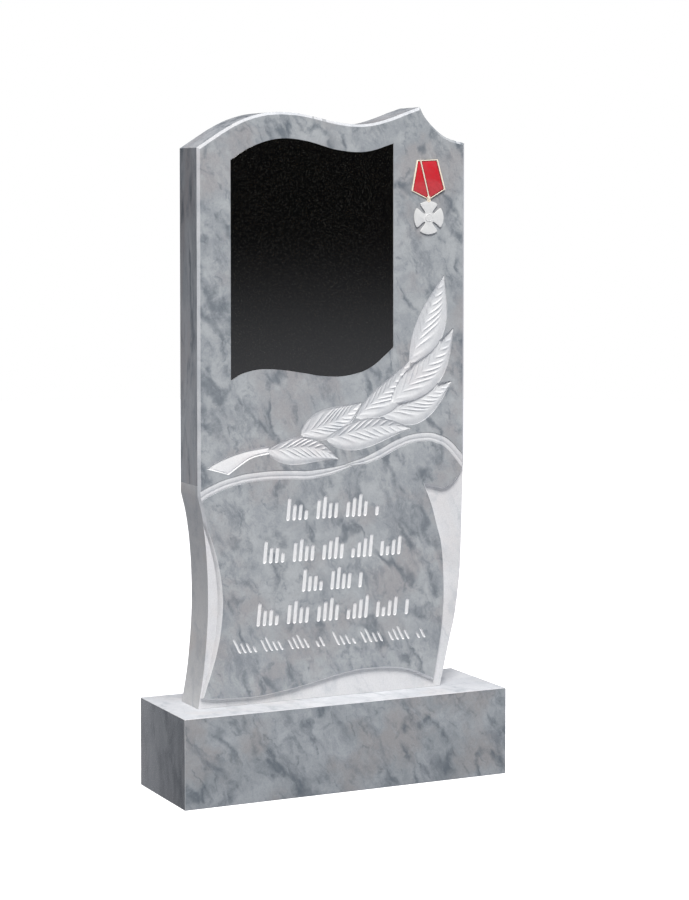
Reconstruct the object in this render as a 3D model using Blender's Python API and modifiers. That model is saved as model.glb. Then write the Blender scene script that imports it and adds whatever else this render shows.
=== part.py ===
"""Upright headstone: a carved marble stele on a plinth, with a dark inset panel and an enamelled medal.

Metres, +Z up. The origin is the middle of the plinth's underside, and the carved face looks along -Y.
A face point is a pair in thousandths: of the stele's width from its middle, and of its height from its foot.
"""

import math

import bmesh
import bpy
from mathutils import Matrix, Vector

# Plinth
PLINTH_WIDTH = 0.600
PLINTH_DEPTH = 0.200
PLINTH_HEIGHT = 0.150
PLINTH_ARRIS = 0.0015

# Stele
STELE_WIDTH = 0.500
STELE_HEIGHT = 1.000
STELE_THICK = 0.080
FRONT_CHAMFER = 0.005
BACK_CHAMFER = 0.002

# Clearances between pieces that touch
SEAT_GAP = 0.0003
PANEL_GAP = 0.0003
MEDAL_GAP = 0.0003

# Portrait panel
PANEL_THICK = 0.010

# Parchment field and the white ground round it
GROUND_DEPTH = 0.006
EDGE_SLOPE = 0.003
WAIST_SLOPE = 0.004

# Rolled hem: two beads with a groove between them
ROLL_HALF_WIDTH = 0.0078
ROLL_TIP_HALF_WIDTH = 0.0018
ROLL_DEPTH = 0.0040
BEAD_CREST_DEPTH = 0.0002
HEM_RIGHT_TAPER = 0.25
HEM_LEFT_TAPER = 0.35

# Leaves: depths below the face at the far edge, free or under a neighbour, at the midrib, at the ridge
# before the smooth band, and at the near edge
LEAF_EDGE_DEPTH = 0.0005
LEAF_UNDER_DEPTH = 0.0036
MIDRIB_DEPTH = 0.0048
RIDGE_DEPTH = 0.0004
BAND_EDGE_DEPTH = 0.0024
VEIN_HEIGHT = 0.0011
LEAF_FULLNESS = 0.82
RIDGE_PLACE = 0.68
VEIN_SWEEP = 0.42
VEIN_START = 0.36
VEINS = 9

# Stem: a smooth bar in a moat
STEM_MOAT = 0.0045
STEM_MOAT_DEPTH = 0.0034
STEM_SHOULDER = 0.0012
STEM_SHOULDER_DEPTH = 0.0010
STEM_CROWN_DEPTH = 0.0003
RIM_DEPTH = 0.0002

# Inscription strokes
STROKE_SLOPE = 0.0016
STROKE_DEPTH = 0.0014

# Medal
RIBBON_TOP = 0.040
RIBBON_WIDE = 0.065
RIBBON_FALL = 0.052
RIBBON_POINT = 0.0165
RIBBON_TILT = 2.5
CROSS_RADIUS = 0.0286
CROSS_GAP_INNER = 0.0010
CROSS_GAP_RIM = 0.0045
CROSS_GAP_REACH = 0.39
CROSS_FLARE = 0.5
RING_RADIUS = 0.0034
RING_HOLE = 0.0012
BOSS_RADIUS = 0.0068
BOSS_RISE = 0.0007
MEDAL_THICK = 0.0025

# Fineness of curves, and how far a cutter reaches past what it cuts
CURVE_STEP = 0.014
ROLL_STEP = 0.012
CUT_MARGIN = 0.010
LEAF_OVERLAP = 0.0003

# Worked-out places
STELE_FOOT = PLINTH_HEIGHT + SEAT_GAP
FACE = -STELE_THICK / 2
BACK = STELE_THICK / 2

# Outline of the stele, up its left side, over the top, and down its right side
LEFT_WAIST = ((-498, 0), (-477, 66), (-464, 140), (-462, 200), (-468, 262), (-481, 315), (-500, 356))
TOP_WAVE = (
    (-500, 931), (-450, 947), (-400, 962.5), (-350, 975.5), (-300, 984.5), (-250, 990), (-190, 991.8),
    (-120, 989.3), (-60, 983.5), (0, 977.3), (60, 973.4), (110, 973.2), (160, 976.8), (220, 985.4),
    (278, 996), (326, 1004),
)
RIGHT_SHOULDER = ((326, 1004), (346, 987), (381, 969), (430, 952.3), (500, 943.2))
RIGHT_WAIST = ((500, 395), (497, 330), (490, 218), (481, 167), (466, 117), (447, 79), (429, 40), (410, 0))

# Portrait panel
PANEL_TOP = (
    (-382, 911), (-320, 930), (-242, 944), (-174, 947.6), (-100, 943), (-42, 935.5), (0, 930),
    (76, 925.8), (140, 928.5), (221, 941),
)
PANEL_FOOT = (
    (221, 593), (160, 568), (120, 556.5), (80, 550.5), (20, 546.5), (-58, 549), (-112, 554),
    (-200, 561), (-262, 563), (-300, 561.5), (-344, 556), (-382, 546),
)

# Foot of the parchment's edge: from the hem down its left side, along the bottom, up its right side, and
# round the curl
PARCHMENT_LEFT = (
    (-510, 372), (-500, 350), (-480, 310), (-454, 269), (-436, 228), (-427, 178), (-434, 127),
    (-449, 86), (-470, 48), (-490, 17),
)
PARCHMENT_FOOT = (
    (-490, 17), (-440, 13), (-340, 10.7), (-278, 11), (-200, 15.5), (-118, 22), (0, 34), (80, 40),
    (138, 41), (200, 40), (278, 34), (346, 20), (382, 11),
)
PARCHMENT_RIGHT = (
    (382, 11), (391, 30), (406, 71), (418, 112), (424, 170), (416, 243), (396, 284), (376, 319), (348, 353),
)
PARCHMENT_CURL = (
    (348, 353), (392, 347), (414, 344), (436, 347), (455, 352.5), (474, 362), (496, 380), (512, 398),
)

# Middle line of the rolled hem, whose left stretch runs in under the start of the right one
HEM_LEFT = (
    (-508, 347), (-480, 358), (-440, 367), (-400, 374), (-360, 378.5), (-320, 382), (-240, 384.2),
    (-160, 383.2), (-100, 381.5), (-40, 384.5), (0, 388), (40, 392.5), (84, 398),
)
HEM_RIGHT = (
    (40, 395), (106, 400.3), (144, 406), (180, 413), (216, 422), (254, 429.5), (290, 434.5), (326, 436.5),
    (364, 436.5), (396, 432), (424, 426), (450, 415), (474, 402), (492, 391), (508, 381),
)

# Branch. A leaf is its base, its tip, and shares of its length: the midrib's bow, and the far and the near
# half-widths. Then comes the depth of its far edge, and the leaves that lie over it.
LEAVES = {
    "leaf_top": ((284, 562), (419, 717), 0.000, 0.100, 0.235, LEAF_EDGE_DEPTH, ()),
    "leaf_upper": ((212, 496), (456, 625), -0.053, 0.130, 0.205, LEAF_UNDER_DEPTH, ("leaf_top",)),
    "leaf_long": (
        (76, 472), (292, 576), -0.058, 0.105, 0.230, LEAF_EDGE_DEPTH,
        ("leaf_top", "leaf_upper", "leaf_near"),
    ),
    "leaf_right": (
        (176, 474), (450, 532), -0.024, 0.150, 0.250, LEAF_UNDER_DEPTH,
        ("leaf_upper", "leaf_long", "leaf_near"),
    ),
    "leaf_near": ((-40, 440), (294, 452.5), 0.063, 0.110, 0.195, LEAF_EDGE_DEPTH, ()),
    "leaf_back": ((-132, 449), (104, 502), -0.066, 0.215, 0.200, LEAF_EDGE_DEPTH, ("leaf_long", "leaf_near")),
    "leaf_low": ((-256, 427), (18, 405), 0.098, 0.140, 0.209, LEAF_EDGE_DEPTH, ("leaf_back", "leaf_near")),
}
STEM_TOP = ((-460, 401), (-440, 408), (-388, 418), (-328, 426), (-244, 431))
STEM_FOOT = ((-392, 391), (-360, 402), (-320, 414), (-290, 419), (-244, 423))

# Inscription rows: left end, right end, foot and height, then the strokes' pitch and lean, and their width
ROWS = (
    (-176, 158, 306, 39, 22, 0.10, 0.0064),
    (-262, 242, 236, 39, 22, 0.10, 0.0064),
    (-118, 94, 184, 39, 22, 0.10, 0.0064),
    (-286, 272, 131, 40, 22, 0.10, 0.0064),
    (-350, -40, 88, 25, 20, -0.50, 0.0048),
    (16, 344, 88, 25, 20, -0.50, 0.0048),
)

# Where the medal hangs: the middle of the ribbon's top edge
MEDAL_PLACE = (356, 914)


def face_point(pair):
    """A face point in metres, as (x, z)."""
    return Vector((pair[0] * STELE_WIDTH / 1000, STELE_FOOT + pair[1] * STELE_HEIGHT / 1000))


def smooth_line(knots, step=CURVE_STEP):
    """Points about a step apart on the smooth curve through knots, which are face points."""
    points = [face_point(knot) for knot in knots]
    points = [2 * points[0] - points[1], *points, 2 * points[-1] - points[-2]]
    line = []
    for before, start, end, after in zip(points, points[1:], points[2:], points[3:]):
        count = max(1, round((end - start).length / step))
        for i in range(count):
            t = i / count
            pull = (end - before) * t
            bend = (2 * before - 5 * start + 4 * end - after) * t**2
            turn = (3 * start - before - 3 * end + after) * t**3
            line.append(start + (pull + bend + turn) / 2)
    line.append(points[-2])
    return line


def joined(*lines):
    """One line out of several that meet end to end."""
    line = list(lines[0])
    for part in lines[1:]:
        line += part[1:] if (part[0] - line[-1]).length < CUT_MARGIN / 100 else part
    return line


def side_normals(line, closed):
    """The left-hand normal at each point, lengthened at corners so that an offset keeps its width."""
    normals = []
    last = len(line) - 1
    for i, point in enumerate(line):
        before = line[i - 1] if closed or i > 0 else point
        after = line[(i + 1) % len(line)] if closed or i < last else point
        ways = [way.normalized() for way in (point - before, after - point) if way.length > 0]
        sides = [Vector((-way.y, way.x)) for way in ways]
        middle = sum(sides, Vector((0, 0))).normalized()
        normals.append(middle / max(0.5, middle.dot(sides[0])))
    return normals


def offset_line(line, widths, closed=False):
    return [p + n * w for p, n, w in zip(line, side_normals(line, closed), widths)]


def add_object(name, mesh, collection):
    obj = bpy.data.objects.new(name, mesh)
    collection.objects.link(obj)
    return obj


def cleaned(mesh):
    """The mesh with its caps welded, each cap one face, and all faces pointing out."""
    bm = bmesh.new()
    bm.from_mesh(mesh)
    bmesh.ops.remove_doubles(bm, verts=bm.verts, dist=0.00001)
    bm.normal_update()
    for way in (-1, 1):
        cap = [face for face in bm.faces if face.normal.y * way > 0.999]
        bmesh.ops.dissolve_faces(bm, faces=cap)
    bmesh.ops.recalc_face_normals(bm, faces=bm.faces)
    bm.to_mesh(mesh)
    bm.free()
    return mesh


def plate(name, outlines, near, far, collection):
    """A flat plate between y = near and y = far. The first outline is its edge, and the rest are holes."""
    curve = bpy.data.curves.new(name, "CURVE")
    curve.dimensions = "2D"
    curve.fill_mode = "BOTH"
    curve.extrude = (far - near) / 2
    for outline in outlines:
        spline = curve.splines.new("POLY")
        spline.points.add(len(outline) - 1)
        for point, place in zip(spline.points, outline):
            point.co = (place.x, place.y, 0, 1)
        spline.use_cyclic_u = True
    guide = add_object(name + "_curve", curve, collection)
    guide.matrix_world = Matrix.Translation((0, (near + far) / 2, 0)) @ Matrix.Rotation(math.pi / 2, 4, "X")
    bpy.context.view_layer.update()
    mesh = bpy.data.meshes.new_from_object(guide.evaluated_get(bpy.context.evaluated_depsgraph_get()))
    mesh.transform(guide.matrix_world)
    bpy.data.objects.remove(guide)
    return add_object(name, cleaned(mesh), collection)


def loft(name, sections, collection):
    """A closed solid through rings of as many points each, given as (x, y, z), with flat ends."""
    bm = bmesh.new()
    rings = [[bm.verts.new(point) for point in section] for section in sections]
    for ring, following in zip(rings, rings[1:]):
        for i in range(len(ring)):
            bm.faces.new((ring[i - 1], ring[i], following[i], following[i - 1]))
    bm.faces.new(rings[0])
    bm.faces.new(rings[-1])
    bmesh.ops.recalc_face_normals(bm, faces=bm.faces)
    mesh = bpy.data.meshes.new(name)
    bm.to_mesh(mesh)
    bm.free()
    return add_object(name, mesh, collection)


def carved_strip(name, rows, collection):
    """A cutter whose inner side is the carved surface. Each row crosses the strip as (x, z, depth) points."""
    front = FACE - CUT_MARGIN
    bm = bmesh.new()
    inner = [[bm.verts.new((x, FACE + depth, z)) for x, z, depth in row] for row in rows]
    rim = [row[0] for row in inner] + inner[-1][1:] + [row[-1] for row in inner[-2::-1]] + inner[0][-2:0:-1]
    for row, following in zip(inner, inner[1:]):
        for i in range(len(row) - 1):
            bm.faces.new((row[i], row[i + 1], following[i + 1], following[i]))
    outer = [bm.verts.new((vert.co.x, front, vert.co.z)) for vert in rim]
    for i in range(len(rim)):
        bm.faces.new((rim[i - 1], rim[i], outer[i], outer[i - 1]))
    bm.faces.new(outer)
    bmesh.ops.recalc_face_normals(bm, faces=bm.faces)
    mesh = bpy.data.meshes.new(name)
    bm.to_mesh(mesh)
    bm.free()
    return add_object(name, mesh, collection)


def combine(target, other, operation, name):
    """Adds a Boolean modifier, and hides the other object as a helper."""
    modifier = target.modifiers.new(name, "BOOLEAN")
    modifier.operation = operation
    modifier.solver = "EXACT"
    modifier.object = other
    other.hide_render = True
    other.display_type = "WIRE"


def chamfer_rim(obj, y, width):
    """Cuts a flat chamfer round the face that lies at the given y."""
    bm = bmesh.new()
    bm.from_mesh(obj.data)
    rim = [edge for edge in bm.edges if all(abs(vert.co.y - y) < width / 100 for vert in edge.verts)]
    bmesh.ops.bevel(bm, geom=rim, offset=width, segments=1, profile=0.5, affect="EDGES")
    bm.to_mesh(obj.data)
    bm.free()


def stele_outline():
    return joined(
        smooth_line(LEFT_WAIST),
        smooth_line(TOP_WAVE),
        smooth_line(RIGHT_SHOULDER),
        smooth_line(RIGHT_WAIST),
    )


def panel_outline():
    return joined(smooth_line(PANEL_TOP), smooth_line(PANEL_FOOT))


def ground_cutter(collection):
    """The space in front of the white ground. Its inner wall slopes, and slopes more at the left waist."""
    foot = joined(
        smooth_line(PARCHMENT_LEFT),
        smooth_line(PARCHMENT_FOOT),
        smooth_line(PARCHMENT_RIGHT),
        smooth_line(PARCHMENT_CURL),
    )
    waist_middle = face_point((0, 170)).y
    waist_reach = face_point((0, 300)).y - waist_middle
    widths = []
    for point in foot:
        swell = max(0, math.cos((point.y - waist_middle) / waist_reach * math.pi / 2)) if point.x < 0 else 0
        widths.append(EDGE_SLOPE + WAIST_SLOPE * swell)
    brow = offset_line(foot, widths)
    side = STELE_WIDTH / 2 + 2 * CUT_MARGIN
    below = STELE_FOOT - CUT_MARGIN
    corners = [(side, foot[-1].y), (side, below), (-side, below), (-side, foot[0].y)]
    corners = [Vector(corner) for corner in corners]
    sections = []
    for line, y in ((foot, FACE + GROUND_DEPTH), (brow, FACE), (brow, FACE - CUT_MARGIN)):
        sections.append([(p.x, y, p.y) for p in [*line, *corners]])
    return loft("cut_ground", sections, collection)


def bead_depth(place):
    """Depth across the hem, from its lower edge, -1, to its upper edge, 1: a slim bead, then a fuller one."""
    middle, reach = (0.42, 0.56) if place > -0.14 else (-0.56, 0.42)
    share = min(1, abs(place - middle) / reach)
    rise = math.sqrt(1 - share**2)
    return ROLL_DEPTH + (BEAD_CREST_DEPTH - ROLL_DEPTH) * rise


def hem_rows(knots, taper_start, taper_end, inset=0):
    """Rows across a stretch of the hem. A taper is the share of the stretch over which an end narrows."""
    places = (-1, -0.9, -0.74, -0.56, -0.36, -0.14, 0.02, 0.2, 0.42, 0.64, 0.84, 0.96, 1)
    line = smooth_line(knots, ROLL_STEP)
    normals = side_normals(line, False)
    rows = []
    for i, (point, normal) in enumerate(zip(line, normals)):
        along = i / (len(line) - 1)
        full = 1
        if taper_start:
            full = min(full, along / taper_start)
        if taper_end:
            full = min(full, (1 - along) / taper_end)
        half = ROLL_TIP_HALF_WIDTH + (ROLL_HALF_WIDTH - ROLL_TIP_HALF_WIDTH) * math.sin(full * math.pi / 2)
        row = []
        for place in places:
            spot = point + normal * place * (half - inset)
            row.append((spot.x, spot.y, bead_depth(place)))
        rows.append(row)
    return rows


def leaf_spot(leaf, along, across, inset=0):
    """A leaf's point: along is 0 at its base and 1 at its tip, across is -1 at its far edge and 1 near."""
    base, tip = face_point(leaf[0]), face_point(leaf[1])
    bow, far, near = leaf[2:5]
    way = tip - base
    side = Vector((-way.y, way.x))
    swell = math.sin(math.pi * along**LEAF_FULLNESS)
    half = (far if across < 0 else near) * swell - inset / way.length
    return base + way * along + side * (bow * math.sin(math.pi * along**1.4) - across * max(0, half))


def leaf_depth(leaf, across, on_vein, along):
    """Depth below the face: a fall from the far edge to the midrib, a rise to the ridge, a smooth band."""
    fade = math.sin(math.pi * along) ** 0.5
    if across <= 0:
        depth = MIDRIB_DEPTH + (leaf[5] - MIDRIB_DEPTH) * -across
        relief = VEIN_HEIGHT * min(1, -3 * across)
    elif across <= RIDGE_PLACE:
        share = across / RIDGE_PLACE
        depth = MIDRIB_DEPTH + (RIDGE_DEPTH - MIDRIB_DEPTH) * share
        relief = VEIN_HEIGHT * math.sin(math.pi * share) ** 0.5
    else:
        share = (across - RIDGE_PLACE) / (1 - RIDGE_PLACE)
        return RIDGE_DEPTH + (BAND_EDGE_DEPTH - RIDGE_DEPTH) * share**2
    return depth - relief * fade if on_vein else depth


def leaf_rows(leaf):
    """Rows across a leaf that sweep towards its tip as its veins do, every other one raised."""
    places = (-1, -0.66, -0.3, 0, 0.2, 0.44, RIDGE_PLACE, 0.84, 1)
    rows = []
    count = 2 * VEINS
    for i in range(1, count + 1):
        start = 0.015 + 0.97 * (i - 1) / (count - 1)
        row = []
        for across in places:
            ramp = math.sin(math.pi / 2 * min(1, start / VEIN_START))
            along = start + VEIN_SWEEP * abs(across) * (1 - start) * ramp
            spot = leaf_spot(leaf, along, across)
            depth = leaf_depth(leaf, across, i % 2 == 0, along)
            row.append((spot.x, spot.y, max(RIDGE_DEPTH, depth)))
        rows.append(row)
    return rows


def leaf_mask(name, leaf, collection):
    """A plain prism a little inside a leaf's edge, which keeps the cuts of what lies behind it away."""
    marks = [0.03 + 0.94 * i / VEINS for i in range(VEINS + 1)]
    far = [leaf_spot(leaf, along, -1, LEAF_OVERLAP) for along in marks]
    near = [leaf_spot(leaf, along, 1, LEAF_OVERLAP) for along in reversed(marks)]
    return plate(name, [far + near], FACE - 2 * CUT_MARGIN, FACE + 2 * CUT_MARGIN, collection)


def stem_row(upper, lower, end_depth):
    """A row across the stem. One with an end_depth lies beyond the cut end, at that depth all over."""
    way = (upper - lower).normalized()
    marks = (
        (lower - way * STEM_MOAT, RIM_DEPTH),
        (lower - way * STEM_SHOULDER / 2, STEM_MOAT_DEPTH),
        (lower + way * STEM_SHOULDER, STEM_SHOULDER_DEPTH),
        (upper.lerp(lower, 0.5), STEM_CROWN_DEPTH),
        (upper - way * STEM_SHOULDER, STEM_SHOULDER_DEPTH),
        (upper + way * STEM_SHOULDER / 2, STEM_MOAT_DEPTH),
        (upper + way * STEM_MOAT, RIM_DEPTH),
    )
    rim = (0, len(marks) - 1)
    return [
        (spot.x, spot.y, depth if end_depth is None or i in rim else end_depth)
        for i, (spot, depth) in enumerate(marks)
    ]


def stem_rows():
    """Rows along the stem, from the moat in front of its cut end to where it runs in under a leaf."""
    count = 10
    top = smooth_line(STEM_TOP, STEM_MOAT)
    foot = smooth_line(STEM_FOOT, STEM_MOAT)
    along_top = (top[1] - top[0]).normalized()
    along_foot = (foot[1] - foot[0]).normalized()
    rows = []
    for reach, depth in ((STEM_MOAT, RIM_DEPTH), (STEM_SHOULDER / 2, STEM_MOAT_DEPTH)):
        rows.append(stem_row(top[0] - along_top * reach, foot[0] - along_foot * reach, depth))
    rows.append(stem_row(top[0] + along_top * STEM_SHOULDER, foot[0] + along_foot * STEM_SHOULDER, None))
    for i in range(1, count + 1):
        upper = top[round(i / count * (len(top) - 1))]
        lower = foot[round(i / count * (len(foot) - 1))]
        rows.append(stem_row(upper, lower, None))
    return rows


def inscription_cutter(collection):
    """Rows of short leaning strokes with sloped sides. Heights follow a beat; each fifth place is bare."""
    beat = (1.0, 0.70, 0.70, 0.45, 0.70, 0.85)
    bm = bmesh.new()
    for left, right, foot, height, pitch, lean, wide in ROWS:
        low = face_point((left, foot))
        high = face_point((right, foot + height))
        count = round((right - left) / pitch)
        for i in range(count + 1):
            if i % 5 == 4:
                continue
            tall = (high.y - low.y) * beat[i % len(beat)]
            x = low.x + (high.x - low.x) * i / count
            stroke = bmesh.ops.create_cube(bm, size=1)["verts"]
            for vert in stroke:
                inset = STROKE_SLOPE if vert.co.y > 0 else -STROKE_SLOPE
                width = wide - 2 * inset
                up = inset + (tall - 2 * inset) * (vert.co.z + 0.5)
                vert.co = (x + vert.co.x * width + lean * up, FACE + 2 * vert.co.y * STROKE_DEPTH, low.y + up)
    mesh = bpy.data.meshes.new("cut_inscription")
    bm.to_mesh(mesh)
    bm.free()
    return add_object("cut_inscription", mesh, collection)


def principled(name, colour, roughness, metallic=0):
    material = bpy.data.materials.new(name)
    material.use_nodes = True
    shader = material.node_tree.nodes["Principled BSDF"]
    shader.inputs["Base Color"].default_value = (*colour, 1)
    shader.inputs["Roughness"].default_value = roughness
    shader.inputs["Metallic"].default_value = metallic
    return material


def build_plinth(parts, material):
    bm = bmesh.new()
    bmesh.ops.create_cube(bm, size=1)
    bmesh.ops.scale(bm, vec=(PLINTH_WIDTH, PLINTH_DEPTH, PLINTH_HEIGHT), verts=bm.verts)
    bmesh.ops.translate(bm, vec=(0, 0, PLINTH_HEIGHT / 2), verts=bm.verts)
    mesh = bpy.data.meshes.new("plinth")
    bm.to_mesh(mesh)
    bm.free()
    plinth = add_object("plinth", mesh, parts)
    arris = plinth.modifiers.new("arris", "BEVEL")
    arris.width = PLINTH_ARRIS
    arris.segments = 1
    plinth.data.materials.append(material)


def build_stele(parts, cutters, material):
    stele = plate("stele", [stele_outline()], FACE, BACK, parts)
    chamfer_rim(stele, FACE, FRONT_CHAMFER)
    chamfer_rim(stele, BACK, BACK_CHAMFER)
    edge = panel_outline()
    recess = offset_line(edge, [PANEL_GAP] * len(edge), closed=True)
    floor = FACE + PANEL_THICK + PANEL_GAP
    combine(stele, plate("cut_recess", [recess], FACE - CUT_MARGIN, floor, cutters), "DIFFERENCE", "recess")
    combine(stele, ground_cutter(cutters), "DIFFERENCE", "ground")
    hem_right = carved_strip("cut_hem_right", hem_rows(HEM_RIGHT, HEM_RIGHT_TAPER, 0), cutters)
    hem_left = carved_strip("cut_hem_left", hem_rows(HEM_LEFT, 0, HEM_LEFT_TAPER), cutters)
    hem_rim = hem_rows(HEM_RIGHT, HEM_RIGHT_TAPER, 0, LEAF_OVERLAP)
    mask = [Vector(row[0][:2]) for row in hem_rim] + [Vector(row[-1][:2]) for row in reversed(hem_rim)]
    over = plate("mask_hem_right", [mask], FACE - 2 * CUT_MARGIN, FACE + 2 * CUT_MARGIN, cutters)
    combine(hem_left, over, "DIFFERENCE", "under_hem_right")
    combine(stele, hem_right, "DIFFERENCE", "hem_right")
    combine(stele, hem_left, "DIFFERENCE", "hem_left")
    covering = {"leaf_low"}.union(*(leaf[6] for leaf in LEAVES.values()))
    masks = {name: leaf_mask("mask_" + name, LEAVES[name], cutters) for name in sorted(covering)}
    for name, leaf in LEAVES.items():
        cutter = carved_strip("cut_" + name, leaf_rows(leaf), cutters)
        for over in leaf[6]:
            combine(cutter, masks[over], "DIFFERENCE", "under_" + over)
        combine(stele, cutter, "DIFFERENCE", name)
    stem = carved_strip("cut_stem", stem_rows(), cutters)
    combine(stem, masks["leaf_low"], "DIFFERENCE", "under_leaf_low")
    combine(stele, stem, "DIFFERENCE", "stem")
    combine(stele, inscription_cutter(cutters), "DIFFERENCE", "inscription")
    stele.data.materials.append(material)


def build_panel(parts, material):
    panel = plate("portrait_panel", [panel_outline()], FACE, FACE + PANEL_THICK, parts)
    panel.data.materials.append(material)


def arc(centre, radius, start, end, count):
    """Points on an arc, from one angle to another, in radians."""
    angles = [start + (end - start) * i / count for i in range(count + 1)]
    return [centre + radius * Vector((math.cos(angle), math.sin(angle))) for angle in angles]


def cross_outline(centre):
    """A cross with four flared arms that end on one circle, and a rounded notch on each diagonal."""
    line = []
    for quarter in range(4):
        diagonal = math.pi / 4 + quarter * math.pi / 2
        way = Vector((math.cos(diagonal), math.sin(diagonal)))
        side = Vector((-way.y, way.x))
        inner = CROSS_RADIUS * CROSS_GAP_REACH
        rim = math.sqrt(CROSS_RADIUS**2 - CROSS_GAP_RIM**2)
        shares = (1, 0.7, 0.4, 0.15, 0)
        flare = CROSS_GAP_RIM - CROSS_GAP_INNER
        gaps = [CROSS_GAP_INNER + flare * share**CROSS_FLARE for share in shares]
        flank = [(inner + (rim - inner) * share, gap) for share, gap in zip(shares, gaps)]
        line += [centre + way * r - side * half for r, half in flank]
        line.append(centre + way * (inner - CROSS_GAP_INNER))
        line += [centre + way * r + side * half for r, half in reversed(flank)]
        notch = math.asin(CROSS_GAP_RIM / CROSS_RADIUS)
        line += arc(centre, CROSS_RADIUS, diagonal + notch, diagonal + math.pi / 2 - notch, 6)[1:-1]
    return line


def build_medal(parts, cutters, material):
    top = face_point(MEDAL_PLACE)
    back = FACE - MEDAL_GAP
    front = back - MEDAL_THICK
    point = top - Vector((0, RIBBON_FALL + RIBBON_POINT))
    tilt = Matrix.Rotation(math.radians(RIBBON_TILT), 2)
    ribbon = [
        point + tilt @ Vector((across, up))
        for across, up in (
            (-RIBBON_TOP / 2, RIBBON_FALL + RIBBON_POINT),
            (-RIBBON_WIDE / 2, RIBBON_POINT),
            (0, 0),
            (RIBBON_WIDE / 2, RIBBON_POINT),
            (RIBBON_TOP / 2, RIBBON_FALL + RIBBON_POINT),
        )
    ]
    ring_centre = point - Vector((0, RING_HOLE))
    cross_centre = ring_centre - Vector((0, RING_HOLE + CROSS_RADIUS))
    medal = plate("medal", [ribbon], front, back, parts)
    ring_edges = [arc(ring_centre, radius, 0, math.tau, 16)[:-1] for radius in (RING_RADIUS, RING_HOLE)]
    lift = MEDAL_THICK * 0.1
    ring = plate("add_ring", ring_edges, front + lift, back - lift, cutters)
    cross = plate("add_cross", [cross_outline(cross_centre)], front + 2 * lift, back, cutters)
    boss_edge = arc(cross_centre, BOSS_RADIUS, 0, math.tau, 24)[:-1]
    boss = plate("add_boss", [boss_edge], front + 2 * lift - BOSS_RISE, back - 2 * lift, cutters)
    combine(cross, boss, "UNION", "boss")
    combine(medal, cross, "UNION", "cross")
    combine(medal, ring, "UNION", "ring")
    medal.data.materials.append(material)


def main():
    for obj in list(bpy.data.objects):
        bpy.data.objects.remove(obj)
    parts = bpy.data.collections.new("upright_headstone")
    cutters = bpy.data.collections.new("cutters")
    for collection in (parts, cutters):
        bpy.context.scene.collection.children.link(collection)
    build_plinth(parts, principled("polished marble plinth", (0.31, 0.34, 0.37), 0.25))
    build_stele(parts, cutters, principled("polished marble stele", (0.38, 0.40, 0.43), 0.25))
    build_panel(parts, principled("polished black gabbro", (0.010, 0.010, 0.010), 0.12))
    build_medal(parts, cutters, principled("enamelled medal", (0.60, 0.04, 0.05), 0.25))


main()
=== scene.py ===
"""Looks of the upright headstone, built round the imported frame: polished blue-grey marble with white tooled
carving, a let-in panel of black gabbro, and a small enamelled medal.

Metres, +Z up, and the carved face looks along -Y. A face point is a pair in thousandths: of the stele's width
from its middle, and of its stock height from its foot.
"""

import math
from collections import namedtuple

import bmesh
import bpy
from mathutils import Matrix, Vector


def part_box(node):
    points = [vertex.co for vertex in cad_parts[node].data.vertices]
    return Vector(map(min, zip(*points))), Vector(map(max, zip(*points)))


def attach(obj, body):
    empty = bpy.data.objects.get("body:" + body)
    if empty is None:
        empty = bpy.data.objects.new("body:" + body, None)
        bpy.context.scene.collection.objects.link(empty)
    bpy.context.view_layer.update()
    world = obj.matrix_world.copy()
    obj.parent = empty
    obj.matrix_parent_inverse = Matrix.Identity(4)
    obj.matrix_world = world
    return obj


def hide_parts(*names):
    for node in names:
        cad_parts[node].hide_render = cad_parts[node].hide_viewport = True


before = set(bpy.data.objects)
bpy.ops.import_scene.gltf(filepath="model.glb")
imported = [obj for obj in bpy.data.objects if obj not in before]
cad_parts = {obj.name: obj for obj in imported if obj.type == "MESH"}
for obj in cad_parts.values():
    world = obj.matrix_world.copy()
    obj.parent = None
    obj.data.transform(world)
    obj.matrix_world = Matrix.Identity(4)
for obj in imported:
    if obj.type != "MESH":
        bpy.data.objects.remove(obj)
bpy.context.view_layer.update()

MM = 0.001
STELE_LOW, STELE_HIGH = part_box("stele")
PLINTH_LOW, PLINTH_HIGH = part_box("plinth")
STELE_WIDTH = STELE_HIGH.x - STELE_LOW.x
# Height of the peak in thousandths of the stock height, which it stands a little over
PEAK = 1004
STELE_HEIGHT = (STELE_HIGH.z - STELE_LOW.z) * 1000 / PEAK
STELE_FOOT = STELE_LOW.z
FACE = STELE_LOW.y
BACK = STELE_HIGH.y

# Photograph and camera
PHOTO_WIDTH = 689
PHOTO_HEIGHT = 900
SENSOR = 36
FOCUS_PIXELS = 2425
CAMERA_PLACE = (-1.768, -3.734, 0.995)
CAMERA_YAW = 25.802
CAMERA_PITCH = 2.712
CAMERA_SHIFT = -0.15

# Studio, with its key light high in front and a little to the left
FLOOR_RADIUS = 8
FLOOR_GLOW = 0.55
KEY_SIZE = 2.6
KEY_WATTS = 760
KEY_DISTANCE = 8
KEY_FROM_LEFT = 16
KEY_RISE = 58
KEY_TARGET = (0, 0, 0.6)
# The surroundings dim towards the left. Places there run from the left, -1, to the right, 1
LEFT_DIMMED = 0.4
DIM_END = -0.9
DIM_START = 0.2
# A band of them is a low and a high place, from straight down, -1, to straight up, 1, and how bright it is at
# each of the two. The bands multiply
STUDIO_BANDS = ((-0.6, -0.09, 0.72, 1), (-0.085, -0.012, 1.05, 0.02), (0.02, 1, 1, 45))

# Lines and cuts: a cutter's reach past the stone, a curve's steps, the lengths that count as none, and one
# over how much a sharp corner may widen an offset
CUT_MARGIN = 10 * MM
CURVE_STEP = 4 * MM
SAME_POINT = 0.1 * MM
CAP_WELD = 0.01 * MM
SLIVER_WELD = 0.005 * MM
MITRE_LIMIT = 0.5

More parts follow.
